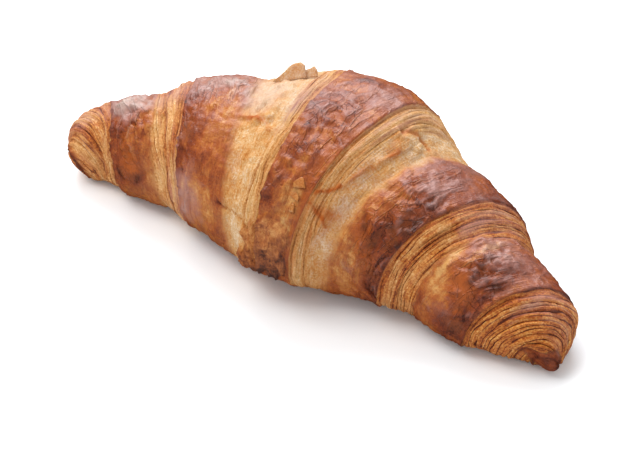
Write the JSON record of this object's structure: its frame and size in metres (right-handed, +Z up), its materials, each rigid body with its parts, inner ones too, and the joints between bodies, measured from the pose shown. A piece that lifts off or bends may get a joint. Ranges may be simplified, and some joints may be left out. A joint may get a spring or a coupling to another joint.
{
  "type": "butter croissant",
  "caption": "Baked butter croissant: a rolled crescent of layered dough with glossy wraps, cut layered edges, curled tips and a flat underside.",
  "frame": {"origin": "middle of the footprint's bounding box, on the surface that the croissant rests on", "axes": "+X along the roll towards the right tip, +Y towards the back of the bend, +Z up"},
  "size_m": [0.1636, 0.0716, 0.0454],
  "materials": {
    "crust": "satin"
  },
  "bodies": {
    "root": {"croissant": "crust"}
  },
  "joints": []
}
